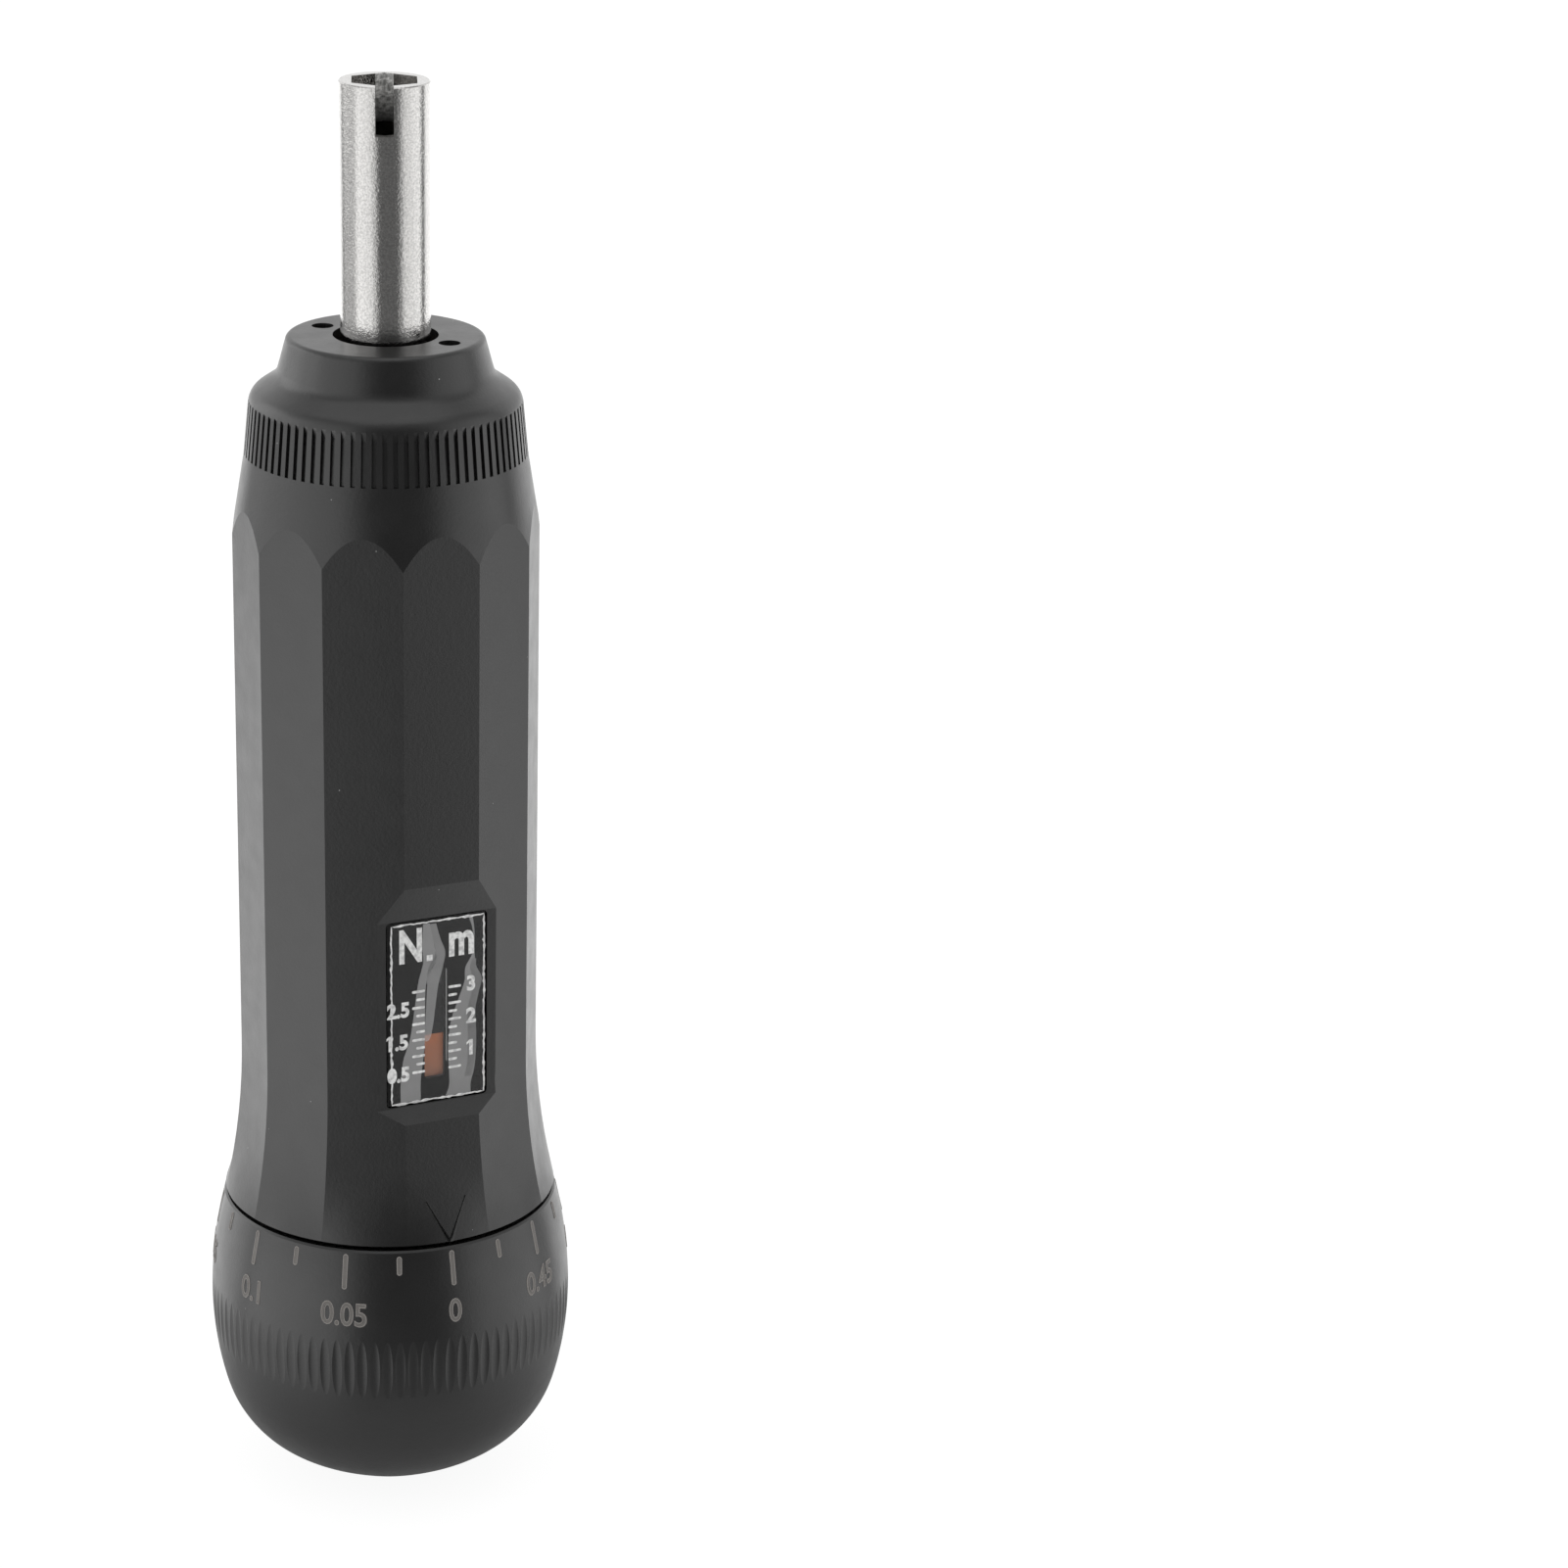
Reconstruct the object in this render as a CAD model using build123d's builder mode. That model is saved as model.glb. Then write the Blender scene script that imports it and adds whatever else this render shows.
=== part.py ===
from build123d import *
from math import asin, cos, degrees, radians, sin, sqrt, tan

# A torque screwdriver with a setting knob, for 0.5 to 3 N.m, standing on its knob.
# Millimetres. +Z runs up the tool's axis from the knob to the bit holder, the origin is the
# middle of the knob's flat end, and the torque window looks along -Y.
# Set to 1.5 N.m: three knob turns below full torque and two above the lowest.

# ------------------------------------------------------------------ driving dimensions: outside
knob_height = 32.2        # flat end to seam
seam_gap = 0.4            # shadow line between knob and handle
handle_length = 80.0
nose_height = 11.95       # nose cap above the handle
holder_reach = 25.45      # bit holder above the nose cap

facet_count = 12
facet_apothem = 14.96     # axis to the middle of a flat, at the foot of the straight grip
facet_top_apothem = 15.03 # the same at the nose
flare_length = 16.5       # stretch of the handle that widens to the knob
flare_arc_r = 72.0
flare_sections = (0.0, 0.09, 0.18, 0.27, 0.36, 0.48, 0.64, 0.82, 1.0)  # of flare_length
facet_fade_height = 9.5   # the flats begin to round off this far over the seam
dome_length = 8.64        # cone that closes in to the nose
dome_r = 15.62            # its outer edge, just past the corners between the flats
handle_top_r = 14.22

knob_r = 19.0             # belly
knob_belly_z = 20.4
knob_foot_r = 5.64        # flat that the tool stands on
knob_step = 0.08          # the knob's top edge stands this much proud of the handle's
knob_arc_r = 36.5         # roundness just under the belly
knob_arc_drop = 8.4       # height of that arc
knob_foot_lean = 0.43     # slope at which the surface leaves the flat
knob_foot_shape = ((0.876, 0.397), (0.753, 0.248), (0.545, 0.118))  # of knob_r, of knob_belly_z

rib_count = 90            # shallow finger grooves round the knob
rib_low_z = 16.0
rib_high_z = 22.6
rib_cutter_r = 1.15       # round cutter

nose_face_r = 9.85        # sharp corners of the nose outline, before rounding
nose_neck_r = 10.95
nose_neck_z = 7.9         # above the handle
nose_brow_r = 13.63
nose_brow_z = 6.1
nose_rounding = (0.6, 2.0, 2.0)  # face edge, neck, brow
band_height = 5.5         # ribbed band at the foot of the nose cap
tooth_count = 84
tooth_gap = 0.46          # width of a groove between teeth
tooth_depth = 0.35
tooth_runout = 1.1        # height over which a groove comes up to the surface

edge_break = 0.2          # small chamfers at the seam

# ------------------------------------------------------------------ driving dimensions: window
recess_radial = 13.55     # axis to the floor of the recess
recess_ledge_z = 46.85    # foot of the steep lower ramp
recess_top_z = 67.3       # foot of the gentle upper ramp
recess_reach = 3.0        # the cutter's ramps end this far out from the floor
recess_ledge_drop = 2.8   # height of the lower ramp over that reach
recess_ramp_rise = 8.2    # height of the upper ramp
pocket_width = 11.0
pocket_height = 20.3
pocket_lift = 0.1         # pocket above the foot of the lower ramp
pocket_depth = 1.35
pocket_corner_r = 0.5
lens_gap = 0.15           # dark line round the lens
lens_sink = 0.2
lens_thickness = 0.8
scale_gap = 0.15
slit_width = 2.15         # clear strip that shows the indicator
slit_low_z = 49.4
slit_high_z = 61.35

mark_spread = 7.6         # degrees either side, the two strokes of the pointer
mark_height = 4.4
mark_width = 0.6
mark_depth = 0.3          # of a stroke, at the seam
mark_head_depth = 0.14    # at its head

# ------------------------------------------------------------------ driving dimensions: output
shaft_r = 4.5
hex_across = 6.4          # for quarter-inch hex bits
hex_depth = 12.0
tip_break = 0.12
slot_width = 1.8
slot_depth = 4.8
slot_angle = -110.8       # direction of one of the two slots
magnet_r = 2.8
magnet_length = 3.0
spanner_hole_r = 1.1
spanner_hole_depth = 3.0
spanner_pitch_r = 7.2
spanner_angle = -50.0
nose_hole_r = 5.27
nose_lip = 1.9            # nose cap over the bush
bush_wall = 1.95
tail_r = 3.5              # keyed end of the bit holder
tail_flats = 5.8
tail_length = 5.6
clip_groove = 0.5
clip_thickness = 0.7
clip_width = 2.0
clip_gap = 2.6

# ------------------------------------------------------------------ driving dimensions: clutch
spigot_length = 6.2       # threaded part of the nose cap
spigot_r = 12.0
thrust_thickness = 1.0
thrust_set_back = 0.6     # ceiling of the nose cap's cavity below its seat
cam_r = 10.2
cam_thickness = 4.0
ball_r = 1.5
ball_count = 4
pocket_count = 12
ball_pitch_r = 7.6
ball_bite = 0.7           # how far a ball sits up into the cam
ball_grip = 0.4           # ball centre above the pressure plate
plate_thickness = 4.0
plate_stroke = 2.0        # the plate's keyway goes this far below it
washer_thickness = 1.0
washer_width = 3.2
spring_guide_r = 6.2
spring_guide_length = 2.5

# ------------------------------------------------------------------ driving dimensions: setting
bore_r = 11.0             # handle bore
key_width = 3.0
key_height = 0.7          # keys stand this far out of the bore
nut_z = 46.2              # underside of the nut at 1.5 N.m
nut_height = 7.5
indicator_width = 3.4
indicator_length = 10.5
indicator_root_r = 9.2
indicator_top_z = 53.95
indicator_gap = 0.2       # indicator behind the scale plate
scale_pitch = 3.55        # travel of the indicator for 1 N.m
torque_up = 1.5           # N.m from the modelled setting to the highest
spring_wire = 1.7         # square wire
spring_mean_r = 7.5
spring_turns = 7.0
rod_r = 4.0               # adjusting screw
rod_spare = 1.0           # rod past the nut at its highest
rod_break = 0.6           # chamfer at the rod's end
collar_r = 6.5
collar_thickness = 1.9
seat_r = 13.5             # counterbore for the rear plate
seat_depth = 6.9
rear_plate_thickness = 3.0
ring_thickness = 1.0
ring_r = 14.1             # retaining ring, sprung into its groove
ring_width = 1.9
ring_gap = 5.0
ring_eye_r = 1.3
ring_eye_hole_r = 0.6
ring_eye_inset = 0.2      # the eyes stay this far inside the ring's rim
knob_spigot_height = 2.4
shank_r = 3.5             # keyed lower end of the adjusting screw
shank_flats = 5.8
shank_length = 20.6
screw_r = 1.5
screw_grip = 8.0          # screw thread inside the adjusting screw
screw_spare = 1.0         # tapped hole past the screw
screw_head_r = 2.75
screw_head_height = 3.0
screw_head_well = 5.0     # head sunk above the flat end
screw_key = 2.5           # hex key, across flats
screw_key_depth = 1.5
detent_r = 1.5
detent_pitch_r = 9.3
detent_count = 20         # one click for every half division of the knob's scale
detent_hole_r = 0.7
detent_hole_depth = 1.2
detent_spring_length = 8.0
detent_wire_r = 0.2
detent_turns = 5.5
detent_play = 0.02        # ball under the rear plate
spacer_wall = 3.0

# ------------------------------------------------------------------ clearances
running = 0.05            # radial, shafts in bores
press = 0.01              # radial, pieces pushed or screwed together
sliding = 0.25            # keyed pieces in the handle bore
free_gap = 0.3            # pieces that pass without touching
key_side = 0.1            # each side of a key
ring_groove_gap = 0.1     # retaining ring to the foot of its groove
break_in = 0.05           # one hollow cut this far into the next
overcut = 1.0             # a cutter runs this far past the metal

# ------------------------------------------------------------------ worked out from the above
handle_base_z = knob_height + seam_gap
handle_top_z = handle_base_z + handle_length
nose_top_z = handle_top_z + nose_height
tip_z = nose_top_z + holder_reach


def sagitta(arc_r, reach):
    """How far an arc of radius arc_r falls away over a distance along its tangent."""
    return arc_r - sqrt(arc_r ** 2 - reach ** 2)


half_side = radians(180.0 / facet_count)
facet_corner = facet_apothem / cos(half_side)
seam_r = facet_corner + sagitta(flare_arc_r, flare_length)

spigot_base_z = handle_top_z - spigot_length
cavity_top_z = handle_top_z - thrust_set_back
cavity_r = cam_r + free_gap
cam_top_z = cavity_top_z - thrust_thickness
cam_base_z = cam_top_z - cam_thickness
tail_end_z = cam_top_z - tail_length
bush_top_z = nose_top_z - nose_lip
bush_bore_r = shaft_r + running
bush_r = bush_bore_r + bush_wall
ball_z = cam_base_z - ball_r + ball_bite
plate_top_z = ball_z - ball_grip
plate_base_z = plate_top_z - plate_thickness
spring_top_z = plate_base_z - washer_thickness

keyed_r = bore_r - sliding
key_r = bore_r + key_height
keyway_r = key_r + sliding
keyway_width = key_width + 2 * key_side

nut_top_z = nut_z + nut_height
travel_up = scale_pitch * torque_up
seat_top_z = handle_base_z + seat_depth
rear_plate_z = seat_top_z - rear_plate_thickness
ring_z = rear_plate_z - ring_thickness
collar_z = seat_top_z + thrust_thickness
rod_top_z = nut_top_z + spring_guide_length + travel_up + rod_spare
knob_spigot_z = knob_height + knob_spigot_height
knob_spigot_r = seat_r - free_gap
shank_end_z = knob_spigot_z - shank_length
screw_head_z = screw_head_well
screw_seat_z = screw_head_z + screw_head_height
lens_face = recess_radial - lens_sink
lens_back = lens_face - lens_thickness
scale_back = recess_radial - pocket_depth
pocket_low_z = recess_ledge_z + pocket_lift
pocket_mid_z = pocket_low_z + pocket_height / 2
indicator_face = scale_back - indicator_gap


def ring(outer_r, inner_r):
    """Ring section in the active sketch."""
    Circle(outer_r)
    Circle(inner_r, mode=Mode.SUBTRACT)


def two_flats(radius, across):
    """Round section with two flats, in the active sketch."""
    Circle(radius)
    Rectangle(2 * radius, across, mode=Mode.INTERSECT)


def finish(builder, label):
    """Name a finished piece and write it."""
    builder.part.label = label
    export_step(builder.part, "parts/" + label + ".step")


# ================================================================== handle
# Twelve-sided grip that widens to a round seam: down the flare the corners follow an arc and
# the flats round off. A cone closes it to the nose, and cuts an arch across each flat.


def side(turn, corner, middle):
    """Control points of one side, its middle at this turn round the axis."""
    reach = 2 * middle - corner * cos(half_side)
    return [(radius * cos(turn + lean), radius * sin(turn + lean))
            for radius, lean in ((corner, -half_side), (reach, 0.0), (corner, half_side))]


with BuildPart() as handle:
    for share in flare_sections:
        height = share * flare_length
        corner = facet_corner + sagitta(flare_arc_r, flare_length - height)
        roundness = max(1 - height / facet_fade_height, 0) ** 2
        middle = corner * (1 - (1 - cos(half_side)) * (1 - roundness))
        with BuildSketch(Plane.XY.offset(handle_base_z + height)):
            with BuildLine():
                for step in range(facet_count):
                    Bezier(*side(2 * half_side * step, corner, middle))
            make_face()
    loft()
    with BuildSketch(Plane.XY.offset(handle_base_z + flare_length)):
        RegularPolygon(facet_apothem, facet_count, major_radius=False,
                       rotation=degrees(half_side))
    with BuildSketch(Plane.XY.offset(handle_top_z)):
        RegularPolygon(facet_top_apothem, facet_count, major_radius=False,
                       rotation=degrees(half_side))
    loft(ruled=True)

    # edge break at the seam, and the cone
    with BuildSketch(Plane.XZ):
        with BuildLine():
            Polyline((seam_r - edge_break, handle_base_z), (seam_r + edge_break, handle_base_z),
                     (seam_r + edge_break, handle_base_z + 2 * edge_break), close=True)
        make_face()
        with BuildLine():
            Polyline((handle_top_r, handle_top_z), (dome_r, handle_top_z - dome_length),
                     (dome_r + overcut, handle_top_z - dome_length),
                     (dome_r + overcut, handle_top_z), close=True)
        make_face()
    revolve(axis=Axis.Z, mode=Mode.SUBTRACT)

    # bores: main bore, seat of the rear plate, thread of the nose cap
    with BuildSketch(Plane.XY.offset(handle_base_z)):
        Circle(bore_r)
    extrude(amount=handle_length, mode=Mode.SUBTRACT)
    with BuildSketch(Plane.XY.offset(handle_base_z)):
        Circle(seat_r)
    extrude(amount=seat_depth, mode=Mode.SUBTRACT)
    with BuildSketch(Plane.XY.offset(ring_z)):
        Circle(ring_r + ring_groove_gap)
    extrude(amount=ring_thickness, mode=Mode.SUBTRACT)
    with BuildSketch(Plane.XY.offset(spigot_base_z - free_gap)):
        Circle(spigot_r + press)
    extrude(amount=spigot_length + free_gap, mode=Mode.SUBTRACT)

    # keyways for the nut, broached from the rear, and for the pressure plate, from the front
    nut_keyway_top = nut_top_z + travel_up + free_gap
    with BuildSketch(Plane.XY.offset(seat_top_z)):
        Circle(keyway_r)
        Rectangle(2 * keyway_r, keyway_width, mode=Mode.INTERSECT)
    extrude(amount=nut_keyway_top - seat_top_z, mode=Mode.SUBTRACT)
    with BuildSketch(Plane.XY.offset(plate_base_z - plate_stroke)):
        Circle(keyway_r)
        Rectangle(2 * keyway_r, keyway_width, mode=Mode.INTERSECT)
    extrude(amount=spigot_base_z - plate_base_z + plate_stroke, mode=Mode.SUBTRACT)

    # groove that the indicator runs in; the window's pocket opens into it
    with BuildSketch(Plane.XY.offset(seat_top_z)):
        with Locations((0, -(scale_back + break_in) / 2)):
            Rectangle(indicator_width + 2 * free_gap, scale_back + break_in)
    extrude(amount=indicator_top_z + travel_up + free_gap - seat_top_z, mode=Mode.SUBTRACT)

    # recess milled right across one flat, with a steep lower end and a long upper ramp
    ramp_out = recess_radial + recess_reach
    with BuildSketch(Plane.YZ):
        with BuildLine():
            Polyline((-recess_radial, recess_ledge_z),
                     (-ramp_out, recess_ledge_z - recess_ledge_drop),
                     (-ramp_out, recess_top_z + recess_ramp_rise),
                     (-recess_radial, recess_top_z), close=True)
        make_face()
    extrude(amount=seam_r, both=True, mode=Mode.SUBTRACT)

    # pocket for the lens and the scale plate
    pocket_plane = Plane((0, -recess_radial, pocket_mid_z), x_dir=(1, 0, 0), z_dir=(0, -1, 0))
    with BuildSketch(pocket_plane):
        RectangleRounded(pocket_width, pocket_height, pocket_corner_r)
    extrude(amount=-pocket_depth, mode=Mode.SUBTRACT)

    # pointer: two strokes that meet at the seam, deepest there
    mark_top_z = handle_base_z + mark_height
    mark_corner = facet_corner + sagitta(flare_arc_r, flare_length - mark_height)
    mark_flat = 1 - (1 - mark_height / facet_fade_height) ** 2
    mark_top = mark_corner * (1 - (1 - cos(half_side)) * mark_flat)
    foot = Vector(0, -seam_r + mark_depth, handle_base_z)
    for side in (-1, 1):
        lean = radians(mark_spread * side)
        head = Vector(mark_top * tan(lean), -mark_top + mark_head_depth, mark_top_z)
        stroke = (head - foot).normalized()
        outward = Vector(0, -stroke.Z, stroke.Y).normalized()
        with BuildSketch(Plane(foot - stroke * overcut, x_dir=outward.cross(stroke),
                               z_dir=stroke)):
            with BuildLine():
                Polyline((0, 0), (mark_width, 2 * mark_depth), (-mark_width, 2 * mark_depth),
                         close=True)
            make_face()
        extrude(amount=(head - foot).length + overcut, mode=Mode.SUBTRACT)
finish(handle, "handle")


# ================================================================== knob
# Bulb with its belly low down, a spigot that runs in the handle's seat, a keyed bore for the
# adjusting screw, a screw well from below and a blind hole for the detent.
knob_top_r = seam_r + knob_step
knob_arc_low_z = knob_belly_z - knob_arc_drop
knob_arc_low_r = knob_r - sagitta(knob_arc_r, knob_arc_drop)
knob_arc_lean = asin(knob_arc_drop / knob_arc_r)
detent_mouth_z = rear_plate_z - detent_play - 2 * detent_r
detent_floor_z = detent_mouth_z - detent_spring_length

with BuildPart() as knob:
    with BuildSketch(Plane.XZ):
        with BuildLine():
            Line((0, 0), (knob_foot_r, 0))
            Spline((knob_foot_r, 0),
                   *[(knob_r * across, knob_belly_z * up)
                     for across, up in reversed(knob_foot_shape)],
                   (knob_arc_low_r, knob_arc_low_z),
                   tangents=((1.0, knob_foot_lean), (sin(knob_arc_lean), cos(knob_arc_lean))))
            RadiusArc((knob_arc_low_r, knob_arc_low_z), (knob_r, knob_belly_z), -knob_arc_r)
            TangentArc((knob_r, knob_belly_z), (knob_top_r, knob_height - edge_break),
                       tangent=(0, 1))
            Polyline((knob_top_r, knob_height - edge_break),
                     (knob_top_r - edge_break, knob_height), (knob_spigot_r, knob_height),
                     (knob_spigot_r, knob_spigot_z), (0, knob_spigot_z), (0, 0))
        make_face()
    revolve(axis=Axis.Z)

    # finger grooves: a round cutter run straight along the belly, so each groove is a long lens
    rib_low_r = knob_r - sagitta(knob_arc_r, knob_belly_z - rib_low_z)
    knob_rise = knob_height - edge_break - knob_belly_z
    knob_top_arc_r = (knob_rise ** 2 + (knob_r - knob_top_r) ** 2) / (2 * (knob_r - knob_top_r))
    rib_high_r = knob_r - sagitta(knob_top_arc_r, rib_high_z - knob_belly_z)
    rib_foot = Vector(rib_low_r, 0, rib_low_z)
    rib_run = Vector(rib_high_r, 0, rib_high_z) - rib_foot
    rib_out = Vector(rib_run.Z, 0, -rib_run.X).normalized()
    with BuildSketch(Plane(rib_foot + rib_out * rib_cutter_r, x_dir=rib_out, z_dir=rib_run)):
        Circle(rib_cutter_r)
    rib_cutter = extrude(amount=rib_run.length, mode=Mode.PRIVATE)
    with PolarLocations(0, rib_count):
        add(rib_cutter, mode=Mode.SUBTRACT)

    with BuildSketch(Plane.XY.offset(shank_end_z - free_gap)):
        two_flats(shank_r + press, shank_flats + 2 * press)
    extrude(until=Until.LAST, mode=Mode.SUBTRACT)
    with BuildSketch():
        Circle(screw_head_r + free_gap)
    extrude(amount=screw_seat_z, mode=Mode.SUBTRACT)
    with BuildSketch():
        Circle(screw_r + running)
    extrude(amount=shank_end_z, mode=Mode.SUBTRACT)
    with BuildSketch(Plane.XY.offset(detent_floor_z)):
        with Locations((detent_pitch_r, 0)):
            Circle(detent_r + running)
    extrude(until=Until.LAST, mode=Mode.SUBTRACT)
finish(knob, "knob")


# ================================================================== nose cap
band_top_r = handle_top_r - (handle_top_r - nose_brow_r) * band_height / nose_brow_z
band_top_z = handle_top_z + band_height
with BuildPart() as nose_cap:
    with BuildSketch(Plane.XZ):
        with BuildLine():
            FilletPolyline(
                (0, nose_top_z), (nose_face_r, nose_top_z),
                (nose_neck_r, handle_top_z + nose_neck_z),
                (nose_brow_r, handle_top_z + nose_brow_z), (handle_top_r, handle_top_z),
                radius=nose_rounding)
            Polyline((handle_top_r, handle_top_z),
                     (spigot_r, handle_top_z), (spigot_r, spigot_base_z),
                     (cavity_r, spigot_base_z), (cavity_r, cavity_top_z), (0, cavity_top_z),
                     (0, nose_top_z))
        make_face()
    revolve(axis=Axis.Z)
    with BuildSketch(Plane.XY.offset(nose_top_z)):
        Circle(nose_hole_r)
    extrude(amount=-nose_height, mode=Mode.SUBTRACT)
    with BuildSketch(Plane.XY.offset(cavity_top_z)):
        Circle(bush_r + press)
    extrude(amount=bush_top_z - cavity_top_z, mode=Mode.SUBTRACT)
    with BuildSketch(Plane.XY.offset(nose_top_z)):
        with PolarLocations(spanner_pitch_r, 2, start_angle=spanner_angle):
            Circle(spanner_hole_r)
    extrude(amount=-spanner_hole_depth, mode=Mode.SUBTRACT)

    # straight grooves round the band, open at the foot and run out at the top
    groove_root = handle_top_r - tooth_depth
    groove_top_root = band_top_r - tooth_depth
    with BuildSketch(Plane.XZ):
        with BuildLine():
            Polyline((groove_root, handle_top_z), (groove_top_root, band_top_z - tooth_runout),
                     (band_top_r, band_top_z), (handle_top_r + overcut, band_top_z),
                     (handle_top_r + overcut, handle_top_z), close=True)
        make_face()
    groove_cutter = extrude(amount=tooth_gap / 2, both=True, mode=Mode.PRIVATE)
    with PolarLocations(0, tooth_count):
        add(groove_cutter, mode=Mode.SUBTRACT)
finish(nose_cap, "nose_cap")


# ================================================================== window pieces
with BuildPart() as window_lens:
    with BuildSketch(Plane((0, -lens_back, pocket_mid_z), x_dir=(1, 0, 0), z_dir=(0, -1, 0))):
        RectangleRounded(pocket_width - 2 * lens_gap, pocket_height - 2 * lens_gap,
                         pocket_corner_r / 2)
    extrude(amount=lens_thickness)
finish(window_lens, "window_lens")

with BuildPart() as scale_plate:
    with BuildSketch(Plane((0, -scale_back, pocket_mid_z), x_dir=(1, 0, 0), z_dir=(0, -1, 0))):
        RectangleRounded(pocket_width - 2 * scale_gap, pocket_height - 2 * scale_gap,
                         pocket_corner_r)
        with Locations((0, (slit_low_z + slit_high_z) / 2 - pocket_mid_z)):
            Rectangle(slit_width, slit_high_z - slit_low_z, mode=Mode.SUBTRACT)
    extrude(amount=lens_back - scale_back)
finish(scale_plate, "scale_plate")


# ================================================================== output
slot_turn = Plane.XY.offset(tip_z).rotated((0, 0, slot_angle))
with BuildPart() as bit_holder:
    with BuildSketch(Plane.XY.offset(cam_top_z)):
        Circle(shaft_r)
    extrude(amount=tip_z - cam_top_z)
    chamfer(bit_holder.faces().sort_by(Axis.Z)[-1].edges(), tip_break)
    with BuildSketch(Plane.XY.offset(tail_end_z)):
        two_flats(tail_r, tail_flats)
    extrude(amount=tail_length)
    with BuildSketch(Plane.XY.offset(cam_base_z - clip_thickness)):
        ring(tail_r, tail_r - clip_groove)
    extrude(amount=clip_thickness, mode=Mode.SUBTRACT)
    with BuildSketch(slot_turn):
        RegularPolygon(hex_across / 2, 6, major_radius=False)
    extrude(amount=-hex_depth, mode=Mode.SUBTRACT)
    with BuildSketch(Plane.XY.offset(tip_z - hex_depth)):
        Circle(magnet_r + press)
    extrude(amount=-magnet_length, mode=Mode.SUBTRACT)
    with BuildSketch(slot_turn):
        Rectangle(2 * (shaft_r + overcut), slot_width)
    extrude(amount=-slot_depth, mode=Mode.SUBTRACT)
finish(bit_holder, "bit_holder")

with BuildPart() as bit_magnet:
    with BuildSketch(Plane.XY.offset(tip_z - hex_depth - magnet_length)):
        Circle(magnet_r)
    extrude(amount=magnet_length)
finish(bit_magnet, "bit_magnet")

with BuildPart() as nose_bush:
    with BuildSketch(Plane.XY.offset(cavity_top_z)):
        ring(bush_r, bush_bore_r)
    extrude(amount=bush_top_z - cavity_top_z)
finish(nose_bush, "nose_bush")

with BuildPart() as front_thrust_washer:
    with BuildSketch(Plane.XY.offset(cam_top_z)):
        ring(cam_r, shaft_r + free_gap)
    extrude(amount=thrust_thickness)
finish(front_thrust_washer, "front_thrust_washer")

with BuildPart() as clutch_cam:
    with BuildSketch(Plane.XY.offset(cam_base_z)):
        Circle(cam_r)
        Circle(tail_r + press, mode=Mode.SUBTRACT)
        for side in (-1, 1):
            with Locations((0, side * (tail_flats + tail_r + overcut) / 2)):
                Rectangle(2 * tail_r, tail_r + overcut - 2 * press)
    extrude(amount=cam_thickness)
    with BuildSketch(Plane.XY.offset(cam_base_z)):
        two_flats(tail_r + press, tail_flats + 2 * press)
    extrude(amount=cam_thickness, mode=Mode.SUBTRACT)
    with Locations((0, 0, ball_z)):
        with PolarLocations(ball_pitch_r, pocket_count):
            Sphere(ball_r + running, mode=Mode.SUBTRACT)
finish(clutch_cam, "clutch_cam")

with BuildPart() as cam_circlip:
    with BuildSketch(Plane.XY.offset(cam_base_z - clip_thickness)):
        ring(tail_r - clip_groove + press + clip_width, tail_r - clip_groove + press)
        with Locations((tail_r, 0)):
            Rectangle(2 * tail_r, clip_gap, mode=Mode.SUBTRACT)
    extrude(amount=clip_thickness)
finish(cam_circlip, "cam_circlip")


# ================================================================== clutch
with BuildPart(Plane.XY.offset(ball_z)) as clutch_balls:
    with PolarLocations(ball_pitch_r, ball_count):
        Sphere(ball_r)
finish(clutch_balls, "clutch_balls")

with BuildPart() as pressure_plate:
    with BuildSketch(Plane.XY.offset(plate_base_z)):
        Circle(keyed_r)
        Rectangle(2 * key_r, key_width)
    extrude(amount=plate_thickness)
    with BuildSketch(Plane.XY.offset(plate_base_z)):
        Circle(spring_guide_r)
    extrude(amount=-spring_guide_length)
    with BuildSketch(Plane.XY.offset(plate_base_z - spring_guide_length)):
        Circle(tail_r + free_gap)
    extrude(amount=plate_thickness + spring_guide_length, mode=Mode.SUBTRACT)
    with Locations((0, 0, ball_z)):
        with PolarLocations(ball_pitch_r, ball_count):
            Sphere(ball_r + running, mode=Mode.SUBTRACT)
finish(pressure_plate, "pressure_plate")

with BuildPart() as spring_washer:
    with BuildSketch(Plane.XY.offset(spring_top_z)):
        ring(spring_guide_r + sliding + washer_width, spring_guide_r + sliding)
    extrude(amount=washer_thickness)
finish(spring_washer, "spring_washer")

# square wire, ground flat at both ends
spring_length = spring_top_z - nut_top_z
with BuildPart() as main_spring:
    with BuildLine(Plane.XY.offset(nut_top_z)) as coil:
        Helix(pitch=spring_length / spring_turns, height=spring_length, radius=spring_mean_r)
    with BuildSketch(Plane(coil.line @ 0, x_dir=(1, 0, 0), z_dir=coil.line % 0)):
        Rectangle(spring_wire, spring_wire)
    sweep(is_frenet=True)
    with BuildSketch(Plane.XY.offset(nut_top_z)):
        Circle(spring_mean_r + spring_wire)
    extrude(amount=spring_length, mode=Mode.INTERSECT)
finish(main_spring, "main_spring")


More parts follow.
